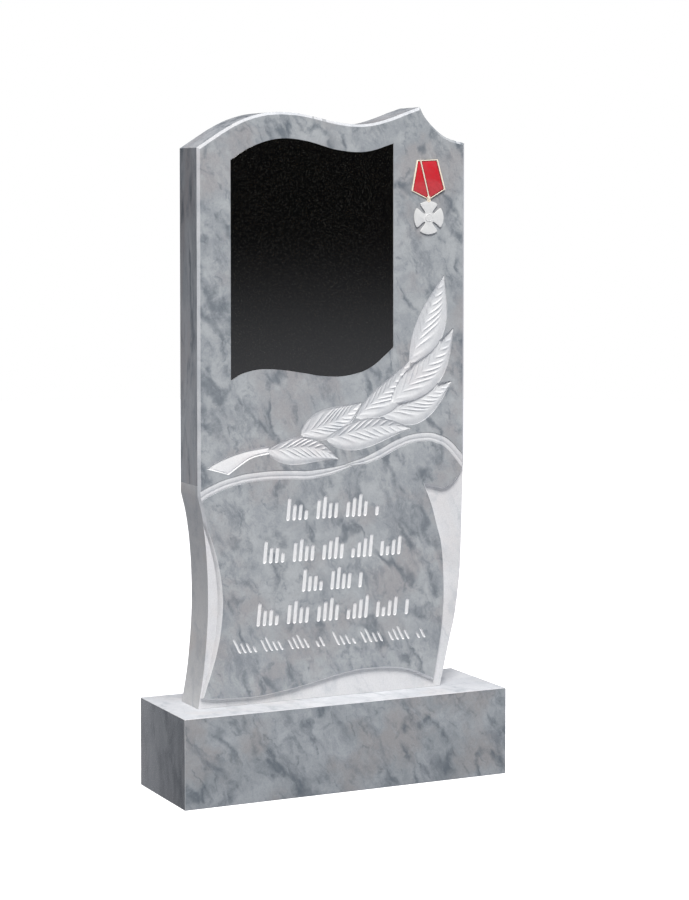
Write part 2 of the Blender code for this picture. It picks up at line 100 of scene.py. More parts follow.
# Stele. Past FACING in its normal a face looks along Y, and past SLANTING it is a chamfer
FRONT_CHAMFER = 4.4 * MM
BACK_CHAMFER = 2 * MM
FACING = 0.9
SLANTING = 0.3
# Past SHOULDER_SLANT to the right, a chamfer over the top faces away from the light and is not painted paler
SHOULDER_SLANT = 0.15
STELE_CREASE = 32

# Plinth
PLINTH_ARRIS = 1.5 * MM
PLINTH_SQUARE = 0.98
PLINTH_CREASE = 40

# Portrait panel
PANEL_THICK = 10 * MM
PANEL_GAP = 0.3 * MM
PANEL_ARRIS = 0.4 * MM

# Parchment field and the white ground round it. The edge's profile is shares of its width and of its depth
GROUND_DEPTH = 6 * MM
EDGE_SLOPE = 3 * MM
EDGE_STEP = 7 * MM
EDGE_PROFILE = ((0, 1), (0.10, 0.80), (0.28, 0.52), (0.55, 0.24), (0.82, 0.07), (1, 0))
# At the left waist it is wider: by how much, and the middle and the end of that, as face points
WAIST_SLOPE = 4 * MM
WAIST_MIDDLE = (-427, 170)
WAIST_END = (-427, 300)

# Rolled hem: two beads with a groove between them
HEM_STEP = 4 * MM
ROLL_HALF_WIDTH = 7.8 * MM
ROLL_TIP_HALF_WIDTH = 1.8 * MM
# A bead is the place of its crest across the hem, from -1 to 1, its reach, its crest's depth, and its feet's
HEM_BEADS = ((0.36, 0.64, 0.2 * MM, 1.8 * MM), (-0.63, 0.37, 0.7 * MM, 2.2 * MM))
HEM_GROOVE_DEPTH = 2 * MM
HEM_PLACES = 28
HEM_RIGHT_TAPER = 0.25
HEM_LEFT_TAPER = 0.35

# Leaves: depths below the face, how far the rim drops inside its edge, and how high the veins stand
LEAF_EDGE_DEPTH = 0.5 * MM
LEAF_UNDER_DEPTH = 3.6 * MM
LEAF_RIM_DROP = 1 * MM
MIDRIB_DEPTH = 4.3 * MM
RIDGE_DEPTH = 0.4 * MM
BAND_EDGE_DEPTH = 2.4 * MM
VEIN_HEIGHT = 1.7 * MM
# Places across a leaf, from its far edge, -1, over its midrib, 0, to its near edge, 1
LEAF_RIM_PLACE = -0.93
LEAF_FIELD_PLACE = -0.87
RIDGE_PLACE = 0.68
# Shape of a leaf, and the share of its length left off at each end. A power says how early a swell comes
LEAF_FULLNESS = 0.82
LEAF_TRIM = 0.015
BOW_POWER = 1.4
RELIEF_POWER = 0.5
# Veins: how many, how far they sweep, from where, and how crisp their crests are at the midrib and beyond it
VEINS = 10
VEIN_PULL = 2.6
VEIN_START = 0.30
VEIN_SHARPNESS = 2
VEIN_TAPER = 2
VEIN_HOLLOW = 0.2
VEIN_POWER = 0.6
# Fineness of a leaf's mesh, how far its mask stays inside it, and how wide it has to be to be masked
ROWS_PER_VEIN = 9
LEAF_PLACES = 10
BAND_PLACES = 5
STRIP_OVERLAP = 0.3 * MM
MASKED_WIDTH = 8 * STRIP_OVERLAP

# Stem: a smooth bar, tilted across, in a moat
STEM_MOAT = 2.6 * MM
STEM_MOAT_DEPTH = 2.2 * MM
STEM_SHOULDER = 1.2 * MM
STEM_SHOULDER_DEPTH = 1 * MM
STEM_CROWN_DEPTH = 0.3 * MM
STEM_TILT = 1.6 * MM
STEM_RIM_DEPTH = 0.2 * MM
# Its profile, in pairs: how far in from its edge, and how deep. The moat's bank is alike on both sides
STEM_BANK = (
    (-STEM_MOAT, STEM_RIM_DEPTH),
    (-STEM_MOAT * 0.55, STEM_MOAT_DEPTH * 0.62),
    (-STEM_SHOULDER / 2, STEM_MOAT_DEPTH),
)
STEM_LOWER_EDGE = ((STEM_SHOULDER * 0.4, STEM_SHOULDER_DEPTH * 1.7), (STEM_SHOULDER, STEM_SHOULDER_DEPTH))
STEM_UPPER_EDGE = (
    (STEM_SHOULDER, STEM_CROWN_DEPTH + STEM_TILT),
    (STEM_SHOULDER * 0.4, STEM_CROWN_DEPTH + STEM_TILT * 1.1),
)
STEM_CROWN_PLACES = (0.8, 0.6, 0.4, 0.2)
STEM_ROWS = 34
STEM_STEP = 1.5 * MM
STEM_CUT_END = 2

# Inscription strokes. Their heights follow a beat, and one place in each group is bare
STROKE_SLOPE = 1.0 * MM
STROKE_DEPTH = 1.4 * MM
STROKE_END_SIDES = 8
STROKE_BEAT = (1.0, 0.70, 0.70, 0.45, 0.70, 0.85)
STROKE_GROUP = 5

# Medal
MEDAL_GAP = 0.3 * MM
MEDAL_THICK = 2.5 * MM
MEDAL_CREASE = 30

# Its ribbon: two folds, each a red field in a cream border, on a darker red bed that shows round the field as
# painted shade along the rims
RIBBON_TOP = 40 * MM
RIBBON_WIDE = 65 * MM
RIBBON_FALL = 52 * MM
RIBBON_POINT = 16.5 * MM
RIBBON_TILT = 2.5
RIBBON_BORDER = 2.6 * MM
RIBBON_HEM = 1.5 * MM
BORDER_ARRIS = 0.15 * MM
BED_SUNK = 0.7 * MM
BED_OVERLAP = 0.1 * MM
# How far the red field is drawn in from its border, which leaves a strip of the darker bed as painted shade
# along the rims
SHADE_RIM_INSET = 1.1 * MM
FIELD_SUNK = 0.3 * MM
FIELD_ARRIS = 0.6 * MM
FOLD_TOP = 5.5 * MM
FOLD_TUCK = 0.15
FOLD_EDGE = 0.4 * MM
FOLD_BORDER = 0.8 * RIBBON_BORDER

# Its cross, whose arms part in notches with a flared flank and a rounded corner
CROSS_RADIUS = 28.6 * MM
CROSS_SUNK = 0.4 * MM
CROSS_ARRIS = 0.45 * MM
CROSS_GAP_INNER = 1 * MM
CROSS_GAP_RIM = 3.7 * MM
CROSS_GAP_REACH = 0.39
CROSS_FLARE = 0.42
CROSS_CORNER = 1.3 * MM
CROSS_CORNER_SHARE = 0.2
CROSS_FLANK_STEPS = 15
CROSS_RIM_STEPS = 18

# Its boss, in millimetres: radius and rise over the cross, from the rim to the middle
BOSS_PROFILE = ((6.8, 0.3), (6.5, 0.55), (5.9, 0.6), (5.5, 0.3), (4.08, 0.42), (2.04, 0.55), (0.2, 0.6))
BOSS_CLEAR = 0.5 * MM

# Its ring and its eyelet: turned washers with soft edges
RING_RADIUS = 3.4 * MM
RING_DROP = 1.2 * MM
RING_CLEAR = 0.2 * MM
EYELET_RADIUS = 2.7 * MM
EYELET_PLACE = (-0.6 * MM, 5 * MM)
EYELET_RISE = 0.4 * MM
EYELET_CLEAR = 1 * MM
WASHER_HOLE = 0.8 * MM
WASHER_SOFT = 0.35 * MM
WASHER_ROUND = 0.3 * WASHER_SOFT
TURNED_SIDES = 48

# Outline of the stele, up its left side, over the top, and down its right side
LEFT_WAIST = ((-498, 0), (-477, 66), (-464, 140), (-462, 200), (-468, 262), (-481, 315), (-500, 356))
# The narrow sides are polished above the waist's top, and sawn below it
WAIST_TOP = (-500, 372)
TOP_WAVE = (
    (-500, 931), (-450, 947), (-400, 962.5), (-350, 975.5), (-300, 984.5), (-250, 990), (-190, 991.8),
    (-120, 989.3), (-60, 983.5), (0, 977.3), (60, 973.4), (110, 973.2), (160, 976.8), (220, 985.4),
    (278, 996), (326, PEAK),
)
RIGHT_SHOULDER = ((326, PEAK), (346, 987), (381, 969), (430, 952.3), (500, 943.2))
RIGHT_WAIST = ((500, 395), (497, 330), (490, 218), (481, 167), (466, 117), (447, 79), (429, 40), (410, 0))

# Portrait panel
PANEL_TOP = (
    (-382, 911), (-320, 930), (-242, 944), (-174, 947.6), (-100, 943), (-42, 935.5), (0, 930),
    (76, 925.8), (140, 928.5), (221, 941),
)
PANEL_FOOT = (
    (221, 593), (160, 568), (120, 556.5), (80, 550.5), (20, 546.5), (-58, 549), (-112, 554),
    (-200, 561), (-262, 563), (-300, 561.5), (-344, 556), (-382, 546),
)

# Foot of the parchment's edge: down its left side, along the bottom, up its right side, and round the curl
PARCHMENT_LEFT = (
    (-510, 372), (-500, 350), (-480, 310), (-454, 269), (-436, 228), (-427, 178), (-434, 127),
    (-449, 86), (-470, 48), (-490, 17),
)
PARCHMENT_FOOT = (
    (-490, 17), (-440, 13), (-340, 10.7), (-278, 11), (-200, 15.5), (-118, 22), (0, 34), (80, 40),
    (138, 41), (200, 40), (278, 34), (346, 20), (382, 11),
)
PARCHMENT_RIGHT = (
    (382, 11), (391, 30), (406, 71), (418, 112), (424, 170), (416, 243), (396, 284), (376, 319), (348, 353),
)
PARCHMENT_CURL = (
    (348, 353), (392, 347), (414, 344), (436, 347), (455, 352.5), (474, 362), (496, 380), (512, 398),
)

# Middle line of the rolled hem, whose left stretch runs in under the start of the right one
HEM_LEFT = (
    (-508, 347), (-480, 358), (-440, 367), (-400, 374), (-360, 378.5), (-320, 382), (-240, 384.2),
    (-160, 383.2), (-100, 381.5), (-40, 384.5), (0, 388), (40, 392.5), (84, 398),
)
HEM_RIGHT = (
    (40, 395), (106, 400.3), (144, 406), (180, 413), (216, 422), (254, 429.5), (290, 434.5), (326, 436.5),
    (364, 436.5), (396, 432), (424, 426), (450, 415), (474, 402), (492, 391), (508, 381), (530, 365),
)

# Branch. A leaf's bow and its far and near half-widths are shares of its length. Its far edge has its own
# depth, and last come the leaves that lie over it
Leaf = namedtuple("Leaf", "base tip bow far near edge_depth over")
LEAVES = {
    "leaf_top": Leaf((284, 562), (419, 717), 0.000, 0.100, 0.235, LEAF_EDGE_DEPTH, ()),
    "leaf_upper": Leaf((212, 496), (456, 625), -0.053, 0.130, 0.205, LEAF_UNDER_DEPTH, ("leaf_top",)),
    "leaf_long": Leaf(
        (76, 472), (292, 576), -0.058, 0.105, 0.230, LEAF_EDGE_DEPTH,
        ("leaf_top", "leaf_upper", "leaf_near"),
    ),
    "leaf_right": Leaf(
        (176, 474), (450, 532), -0.024, 0.150, 0.250, LEAF_UNDER_DEPTH,
        ("leaf_upper", "leaf_long", "leaf_near"),
    ),
    "leaf_near": Leaf((-40, 440), (294, 452.5), 0.063, 0.110, 0.195, LEAF_EDGE_DEPTH, ()),
    "leaf_back": Leaf(
        (-132, 449), (104, 502), -0.066, 0.215, 0.200, LEAF_EDGE_DEPTH, ("leaf_long", "leaf_near")
    ),
    "leaf_low": Leaf(
        (-256, 427), (18, 405), 0.098, 0.140, 0.209, LEAF_EDGE_DEPTH, ("leaf_back", "leaf_near")
    ),
}
STEM_TOP = ((-460, 401), (-440, 408), (-388, 418), (-328, 426), (-244, 431))
STEM_FOOT = ((-392, 391), (-360, 402), (-320, 414), (-290, 419), (-244, 423))

# Inscription rows: left end, right end, foot and height, then the strokes' pitch and lean, and their width
ROWS = (
    (-176, 158, 306, 39, 22, 0.10, 6.4 * MM),
    (-262, 242, 236, 39, 22, 0.10, 6.4 * MM),
    (-118, 94, 184, 39, 22, 0.10, 6.4 * MM),
    (-286, 272, 131, 40, 22, 0.10, 6.4 * MM),
    (-350, -40, 88, 25, 20, -0.50, 4.8 * MM),
    (16, 344, 88, 25, 20, -0.50, 4.8 * MM),
)

# Where the medal hangs: the middle of the ribbon's top edge
MEDAL_PLACE = (356, 914)


# Colours and nodes

def linear(code, alpha=1):
    """An sRGB hex colour as linear red, green, blue and alpha."""
    shares = [int(code[i:i + 2], 16) / 255 for i in (1, 3, 5)]
    return (*[s / 12.92 if s <= 0.04045 else ((s + 0.055) / 1.055) ** 2.4 for s in shares], alpha)


SMOOTH = {"interpolation_type": "SMOOTHSTEP"}


def feed(tree, node, sockets):
    """Feeds a node's sockets, which are a row from the first, or a dict by name or number.

    Each takes a value, an output, or a node, whose first output then feeds it.
    """
    for socket, value in sockets.items() if isinstance(sockets, dict) else enumerate(sockets):
        source = value.outputs[0] if isinstance(value, bpy.types.Node) else value
        if isinstance(source, bpy.types.NodeSocket):
            tree.links.new(source, node.inputs[socket])
        else:
            node.inputs[socket].default_value = source


def add_node(tree, kind, sockets=(), **settings):
    """Adds a node with its settings and links."""
    node = tree.nodes.new("ShaderNode" + kind)
    for name, value in settings.items():
        setattr(node, name, value)
    feed(tree, node, sockets)
    return node


def new_material(name):
    """An empty material, its tree, and its shader."""
    material = bpy.data.materials.new(name)
    material.use_nodes = True
    return material, material.node_tree, material.node_tree.nodes["Principled BSDF"]


def noise_share(tree, place, size, detail, roughness, low, high, most=1):
    """A share from noise whose lumps measure about size: none where it is under low, and most over high."""
    sockets = {"Vector": place, "Scale": 1 / size, "Detail": detail, "Roughness": roughness}
    noise = add_node(tree, "TexNoise", sockets)
    return add_node(tree, "MapRange", (noise, low, high, 0, most), **SMOOTH)


def vein_share(tree, bed, size, width, where, most):
    """A share along soft bands, where a noise crosses its middle: most of where, which is a share itself."""
    sockets = {"Vector": bed, "Scale": 1 / size, "Detail": 3, "Roughness": 0.5}
    noise = add_node(tree, "TexNoise", sockets)
    off = add_node(tree, "Math", (noise, 0.5), operation="SUBTRACT")
    away = add_node(tree, "Math", (off,), operation="ABSOLUTE")
    band = add_node(tree, "MapRange", (away, 0, width, 1, 0), **SMOOTH)
    kept = add_node(tree, "Math", (band, where), operation="MULTIPLY")
    return add_node(tree, "Math", (kept, most), operation="MULTIPLY")


def layered(tree, base, layers):
    """Hex colours laid over a base one in turn, each by its own share."""
    colour = linear(base)
    for share, tint in layers:
        sockets = {0: share, 6: colour, 7: linear(tint)}
        colour = add_node(tree, "Mix", sockets, data_type="RGBA").outputs[2]
    return colour


def marble(name, light, middle, dark, vein, warm, roughness, stretch=(1, 1, 1), turn=24, depth=1, pits=0):
    """Veined marble: pale clouds, warm patches, smoky drifts along the bed, and soft feathery veins in them.

    The bed crosses the face at a slant, turn in degrees, and stretch draws the pattern out. Depth is how
    strong its darks are, and pits are how deep a tool has bruised the surface.
    """
    material, tree, shader = new_material(name)
    place = add_node(tree, "TexCoord").outputs["Object"]
    sockets = {"Vector": place, "Rotation": (0, math.radians(turn), 0), "Scale": stretch}
    turned = add_node(tree, "Mapping", sockets)
    sockets = {"Vector": turned, "Scale": 1 / (45 * MM), "Detail": 5, "Roughness": 0.6}
    swirl = add_node(tree, "TexNoise", sockets).outputs["Color"]
    push = (33 * MM,) * 3
    pushed = add_node(tree, "VectorMath", (swirl, push, turned), operation="MULTIPLY_ADD")
    bed = add_node(tree, "Mapping", {"Vector": pushed, "Scale": (1.55, 1, 0.6)})
    clouds = noise_share(tree, pushed, 48 * MM, 7, 0.66, 0.34, 0.64)
    patches = noise_share(tree, pushed, 105 * MM, 5, 0.55, 0.48, 0.64, 0.85)
    drifts = noise_share(tree, bed, 56 * MM, 9, 0.68, 0.50, 0.72, 0.9 * depth)
    flecks = noise_share(tree, bed, 9 * MM, 6, 0.7, 0.54, 0.74, 0.4 * depth)
    blots = noise_share(tree, bed, 13 * MM, 6, 0.66, 0.50, 0.74, 0.5)
    thread_places = noise_share(tree, pushed, 24 * MM, 5, 0.6, 0.42, 0.66)
    threads = vein_share(tree, bed, 62 * MM, 0.034, thread_places, 0.55 * depth)
    vein_places = noise_share(tree, pushed, 40 * MM, 5, 0.6, 0.40, 0.62)
    veins = vein_share(tree, bed, 135 * MM, 0.052, vein_places, 0.85 * depth)
    colour = layered(tree, light, (
        (clouds, middle), (patches, warm), (drifts, dark), (flecks, dark), (threads, vein), (veins, vein),
        (blots, light),
    ))
    # The crystals, of about a millimetre, are drawn at 2.4 mm so that they show
    sockets = {"Vector": place, "Scale": 1 / (2.4 * MM), "Detail": 4, "Roughness": 0.7}
    grain = add_node(tree, "TexNoise", sockets)
    tone = add_node(tree, "MapRange", (grain, 0.3, 0.7, 0.94, 1.06), **SMOOTH)
    toned = add_node(tree, "VectorMath", {0: colour, 3: tone}, operation="SCALE")
    dullness = add_node(tree, "MapRange", (grain, 0.3, 0.7, roughness * 0.85, roughness * 1.2), **SMOOTH)
    feed(tree, shader, {"Base Color": toned, "Roughness": dullness, "IOR": 1.52})
    if pits:
        sockets = {"Vector": place, "Scale": 1 / (3.2 * MM), "Detail": 4, "Roughness": 0.75}
        coarse = add_node(tree, "TexNoise", sockets)
        bump = add_node(tree, "Bump", {"Height": coarse, "Distance": pits, "Strength": 1})
        feed(tree, shader, {"Normal": bump})
    return material


# Finishes of the stone

# Mirror-polished blue-grey marble: cloudy, with smoky drifts and feathery blue-grey veins under a clear gloss
polished_marble = marble(
    "polished_blue_grey_marble", "#AEB2B5", "#989DA2", "#7C8289", "#666E76", "#9D9C9E", 0.16
)
# The same block, polished on its narrow sides, where the bed is seen edge on as upright streaks
side_marble = marble(
    "polished_marble_side", "#B2B5BA", "#9CA1A7", "#767E87", "#5C656F", "#A3A1A4", 0.22,
    stretch=(1.4, 1.4, 0.5), turn=0,
)
# The plinth's block is a shade darker, with the veins steeper
plinth_marble = marble(
    "polished_marble_plinth", "#9FA4A9", "#888E93", "#6A7179", "#555F68", "#939293", 0.16, turn=32
)
# Its ends show the bed edge on, as upright streaks, in a darker tone that is painted shade, as the ends face
# away from the light
plinth_end_shade_marble = marble(
    "shaded_polished_marble_plinth_end", "#818589", "#6E7379", "#535961", "#414952", "#77767A", 0.24,
    stretch=(1.2, 1.2, 0.6), turn=0,
)
# Its top is painted paler, a painted highlight for the light from above and the pale surroundings mirrored at
# a grazing angle, with the veins only faint and a duller gloss
plinth_top_highlight_marble = marble(
    "painted_light_marble_plinth_top", "#D4D6DA", "#C7CACF", "#B2B8BD", "#9EA5AC", "#CBCACC", 0.42, turn=0, depth=0.6
)
# Sawn and honed marble, as on the curved edges and the back: paler, and dull, because the saw bruises it
sawn_marble = marble(
    "sawn_marble", "#E3E3E3", "#DCDDDE", "#CDCFD2", "#BDC1C6", "#DEDAD8", 0.55, depth=0.6, pits=0.05 * MM
)
# The chamfer is ground and only half polished, so it shows as a paler line
ground_arris = marble(
    "ground_marble_arris", "#D6D8DC", "#CDD0D4", "#BABFC6", "#A9B0B9", "#CFCED1", 0.35, depth=0.5
)
# Over the top it is polished with the face, and painted a little paler than that, a painted highlight where
# the chamfer faces up into the light
arris_highlight_marble = marble(
    "painted_highlight_marble_arris", "#C6C9CD", "#BABDC2", "#A5AAB0", "#939AA1", "#BEBDBF", 0.25, depth=0.5
)
# Marble bruised by chisel and burr: crushed crystals scatter the light, so it is white with faint veins
tooled_marble = marble(
    "tooled_white_marble", "#DEDFE1", "#D9DADD", "#CACED2", "#B5BBC1", "#DAD9DA", 0.62, depth=0.5,
    pits=0.12 * MM,
)
# Leaves, stem and hem are carved the same way and rubbed smooth, which leaves a silvery sheen on the crests
rubbed_marble = marble(
    "rubbed_white_marble", "#D8DADC", "#D1D3D6", "#C4C8CD", "#B5BBC2", "#D2D1D3", 0.38, depth=0.5,
    pits=0.04 * MM,
)
# The strokes are sandblasted, the whitest of the finishes
blasted_marble = marble(
    "sandblasted_white_marble", "#E8E9EA", "#E3E4E6", "#DCDEE1", "#D2D6DA", "#E5E4E5", 0.8, depth=0.3,
    pits=0.15 * MM,
)


def black_gabbro():
    """Mirror-polished gabbro: near black, with fine glints of grey felspar and bronze mica in its dark."""
    material, tree, shader = new_material("polished_black_gabbro")
    place = add_node(tree, "TexCoord").outputs["Object"]
    layers = [(noise_share(tree, place, 6 * MM, 5, 0.7, 0.35, 0.7), "#0C0C0B")]
    # Crystals are about half a millimetre, drawn at 1.2 to 2.1 mm so that they show
    glints = ((1.5 * MM, "#2F2F2B", 0.62), (2.1 * MM, "#382D1F", 0.64), (1.2 * MM, "#545450", 0.68))
    for size, tint, rarity in glints:
        layers.append((noise_share(tree, place, size, 2, 0.6, rarity, rarity + 0.05, 0.8), tint))
    feed(tree, shader, {"Base Color": layered(tree, "#050506", layers), "Roughness": 0.06, "IOR": 1.55})
    return material


def enamel(name, colour, deep, roughness, rib=0):
    """Hard enamel: a glassy fill over a stamped field, whose fine ribs show through as darker lines."""
    material, tree, shader = new_material(name)
    place = add_node(tree, "TexCoord").outputs["Object"]
    share = noise_share(tree, place, 7 * MM, 3, 0.5, 0.35, 0.7, 0.5)
    layers = [(share, deep)]
    if rib:
        # A wave texture repeats every tau / 20 over its scale
        sockets = {"Vector": place, "Scale": math.tau / 20 / rib, "Distortion": 0.4}
        wave = add_node(tree, "TexWave", sockets, bands_direction="X").outputs["Fac"]
        ribs = add_node(tree, "MapRange", (wave, 0.2, 0.8, 0, 0.35), **SMOOTH)
        layers.append((ribs, deep))
    dullness = add_node(tree, "MapRange", (share, 0, 0.5, roughness, roughness * 1.6), **SMOOTH)
    feed(tree, shader, {
        "Base Color": layered(tree, colour, layers), "Roughness": dullness, "IOR": 1.55, "Coat Weight": 0.5,
        "Coat Roughness": 0.08,
    })
    return material


gabbro = black_gabbro()
red_enamel = enamel("red_enamel", "#CC1C2A", "#B01522", 0.36, rib=1.3 * MM)
# Painted shade: a darker red for the strip along the rims of each fold, where shade falls by the raised
# border
painted_shade_red_enamel = enamel("painted_shade_red_enamel", "#7E0E18", "#650A12", 0.32)
cream_enamel = enamel("cream_enamel", "#F3E8D6", "#E6D6BC", 0.34)
white_enamel = enamel("white_enamel", "#DADBDB", "#CBCECE", 0.30)


# Lines and solids

def face_point(pair):
    """A face point in metres, as (x, z)."""
    return Vector((pair[0] * STELE_WIDTH / 1000, STELE_FOOT + pair[1] * STELE_HEIGHT / 1000))


def smooth_line(knots, step=CURVE_STEP):
    """Points about a step apart on the smooth curve through knots, which are face points."""
    points = [face_point(knot) for knot in knots]
    points = [2 * points[0] - points[1], *points, 2 * points[-1] - points[-2]]
    line = []
    for before, start, end, after in zip(points, points[1:], points[2:], points[3:]):
        count = max(1, round((end - start).length / step))
        for i in range(count):
            t = i / count
            pull = (end - before) * t
            bend = (2 * before - 5 * start + 4 * end - after) * t**2
            turn = (3 * start - before - 3 * end + after) * t**3
            line.append(start + (pull + bend + turn) / 2)
    line.append(points[-2])
    return line


def joined(*lines):
    """One line out of several that meet end to end."""
    line = list(lines[0])
    for part in lines[1:]:
        line += part[1:] if (part[0] - line[-1]).length < SAME_POINT else part
    return line


def side_normals(line, closed):
    """The left-hand normal at each point, lengthened at corners so that an offset keeps its width."""
    normals = []
    last = len(line) - 1
    for i, point in enumerate(line):
        before = line[i - 1] if closed or i > 0 else point
        after = line[(i + 1) % len(line)] if closed or i < last else point
        ways = [way.normalized() for way in (point - before, after - point) if way.length > 0]
        sides = [Vector((-way.y, way.x)) for way in ways]
        middle = sum(sides, Vector((0, 0))).normalized()
        normals.append(middle / max(MITRE_LIMIT, middle.dot(sides[0])))
    return normals


def offset_line(line, widths, closed=False):
    """The line moved to its left at each point, by that point's width."""
    return [p + n * w for p, n, w in zip(line, side_normals(line, closed), widths)]


def add_object(name, data):
    obj = bpy.data.objects.new(name, data)
    bpy.context.scene.collection.objects.link(obj)
    return obj


def cleaned(mesh):
    """The mesh with its caps welded, each cap one face, and all faces pointing out."""
    bm = bmesh.new()
    bm.from_mesh(mesh)
    bmesh.ops.remove_doubles(bm, verts=bm.verts, dist=CAP_WELD)
    bm.normal_update()
    for way in (-1, 1):
        cap = [face for face in bm.faces if face.normal.y * way > 0.999]
        bmesh.ops.dissolve_faces(bm, faces=cap)
    bmesh.ops.recalc_face_normals(bm, faces=bm.faces)
    bm.to_mesh(mesh)
    bm.free()
    return mesh


def plate(name, outlines, near, far, material):
    """A flat plate between y = near and y = far. The first outline is its edge, and the rest are holes."""
    curve = bpy.data.curves.new(name, "CURVE")
    curve.dimensions = "2D"
    curve.fill_mode = "BOTH"
    curve.extrude = (far - near) / 2
    for outline in outlines:
        spline = curve.splines.new("POLY")
        spline.points.add(len(outline) - 1)
        for point, place in zip(spline.points, outline):
            point.co = (place.x, place.y, 0, 1)
        spline.use_cyclic_u = True
    guide = add_object(name + "_curve", curve)
    guide.matrix_world = Matrix.Translation((0, (near + far) / 2, 0)) @ Matrix.Rotation(math.pi / 2, 4, "X")
    bpy.context.view_layer.update()
    mesh = bpy.data.meshes.new_from_object(guide.evaluated_get(bpy.context.evaluated_depsgraph_get()))
    mesh.transform(guide.matrix_world)
    bpy.data.objects.remove(guide)
    mesh.materials.clear()
    mesh.materials.append(material)
    return add_object(name, cleaned(mesh))


def mesh_object(name, bm, material):
    """An object from a bmesh, with its faces pointing out."""
    bmesh.ops.recalc_face_normals(bm, faces=bm.faces)
    mesh = bpy.data.meshes.new(name)
    bm.to_mesh(mesh)
    bm.free()
    mesh.materials.append(material)
    return add_object(name, mesh)


def add_wall(bm, ring, following):
    """The faces between two rings of as many points each."""
    for i in range(len(ring)):
        bm.faces.new((ring[i - 1], ring[i], following[i], following[i - 1]))


def loft(name, sections, material, has_hole=False):
    """A solid through rings of as many (x, y, z) points each, with flat ends, or with a hole through it."""
    bm = bmesh.new()
    rings = [[bm.verts.new(point) for point in section] for section in sections]
    if has_hole:
        rings.append(rings[0])
    for ring, following in zip(rings, rings[1:]):
        add_wall(bm, ring, following)
    if not has_hole:
        bm.faces.new(rings[0])
        bm.faces.new(rings[-1])
    return mesh_object(name, bm, material)


def carved_strip(name, rows, material):
    """A cutter whose inner side is the carved surface. Each row crosses the strip as (x, z, depth) points."""
    front = FACE - CUT_MARGIN
    bm = bmesh.new()
    inner = [[bm.verts.new((x, FACE + depth, z)) for x, z, depth in row] for row in rows]
    rim = [row[0] for row in inner] + inner[-1][1:] + [row[-1] for row in inner[-2::-1]] + inner[0][-2:0:-1]
    for row, following in zip(inner, inner[1:]):
        for i in range(len(row) - 1):
            bm.faces.new((row[i], row[i + 1], following[i + 1], following[i]))
    outer = [bm.verts.new((vert.co.x, front, vert.co.z)) for vert in rim]
    add_wall(bm, rim, outer)
    bm.faces.new(outer)
    return mesh_object(name, bm, material)


def add_cut(target, name):
    """A Boolean that cuts away, and leaves each cut its own finish."""
    modifier = target.modifiers.new(name, "BOOLEAN")
    modifier.operation = "DIFFERENCE"
    modifier.solver = "EXACT"
    modifier.material_mode = "TRANSFER"
    return modifier


def carve(target, cutters, masks):
    """Cuts the cutters away all at once, and removes them and their masks."""
    group = bpy.data.collections.new("cutters")
    for cutter in cutters:
        group.objects.link(cutter)
    modifier = add_cut(target, "carving")
    modifier.operand_type = "COLLECTION"
    modifier.collection = group
    mesh = bpy.data.meshes.new_from_object(target.evaluated_get(bpy.context.evaluated_depsgraph_get()))
    target.modifiers.clear()
    target.data = mesh
    for helper in (*cutters, *masks):
        bpy.data.objects.remove(helper)
    bpy.data.collections.remove(group)


def weld_slivers(obj):
    """Welds what all but touches, and drops the doubled slivers left where the cutters overlap."""
    bm = bmesh.new()
    bm.from_mesh(obj.data)
    bmesh.ops.triangulate(bm, faces=bm.faces)
    bmesh.ops.remove_doubles(bm, verts=bm.verts, dist=SLIVER_WELD)
    bm.verts.index_update()
    twins = {}
    for face in bm.faces:
        twins.setdefault(frozenset(vert.index for vert in face.verts), []).append(face)
    doubled = [face for group in twins.values() if len(group) > 1 for face in group]
    bmesh.ops.delete(bm, geom=doubled, context="FACES")
    bm.to_mesh(obj.data)
    bm.free()


def chamfer_rim(obj, y, width, segments=1):
    """Cuts a chamfer round the face that lies at the given y."""
    bm = bmesh.new()
    bm.from_mesh(obj.data)
    rim = [edge for edge in bm.edges if all(abs(vert.co.y - y) < width / 100 for vert in edge.verts)]
    bmesh.ops.bevel(bm, geom=rim, offset=width, segments=segments, profile=0.5, affect="EDGES")
    bm.to_mesh(obj.data)
    bm.free()


def shade(obj, angle):
    """Smooth shading, with edges sharper than the angle in degrees kept crisp, and flat faces kept flat."""
    obj.data.shade_smooth()
    obj.data.set_sharp_from_angle(angle=math.radians(angle))


def give_finishes(obj, finishes, finish_of):
    """Gives each face its own of the finishes. The first of them is the one that the object already has."""
    for finish in finishes[1:]:
        obj.data.materials.append(finish)
    for face in obj.data.polygons:
        face.material_index = finishes.index(finish_of(face))


def dress(obj, node):
    """Puts a finished piece on the frame's one body, in place of its node."""
    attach(obj, "root")
    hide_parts(node)


# Stele

def ground_cutter():
    """The space in front of the white ground. Its inner wall is a cove, and a wider one at the left waist."""
    stretches = (PARCHMENT_LEFT, PARCHMENT_FOOT, PARCHMENT_RIGHT, PARCHMENT_CURL)
    foot = joined(*[smooth_line(knots, EDGE_STEP) for knots in stretches])
    waist_middle = face_point(WAIST_MIDDLE).y
    waist_reach = face_point(WAIST_END).y - waist_middle
    widths = []
    for point in foot:
        swell = max(0, math.cos((point.y - waist_middle) / waist_reach * math.pi / 2)) if point.x < 0 else 0
        widths.append(EDGE_SLOPE + WAIST_SLOPE * swell)
    side = STELE_WIDTH / 2 + 2 * CUT_MARGIN
    below = STELE_FOOT - CUT_MARGIN
    corners = ((side, foot[-1].y), (side, below), (-side, below), (-side, foot[0].y))
    sections = []
    for share, depth in (*EDGE_PROFILE, (1, -CUT_MARGIN / GROUND_DEPTH)):
        line = offset_line(foot, [width * share for width in widths])
        sections.append([(x, FACE + GROUND_DEPTH * depth, z) for x, z in (*line, *corners)])
    return loft("cut_ground", sections, tooled_marble)


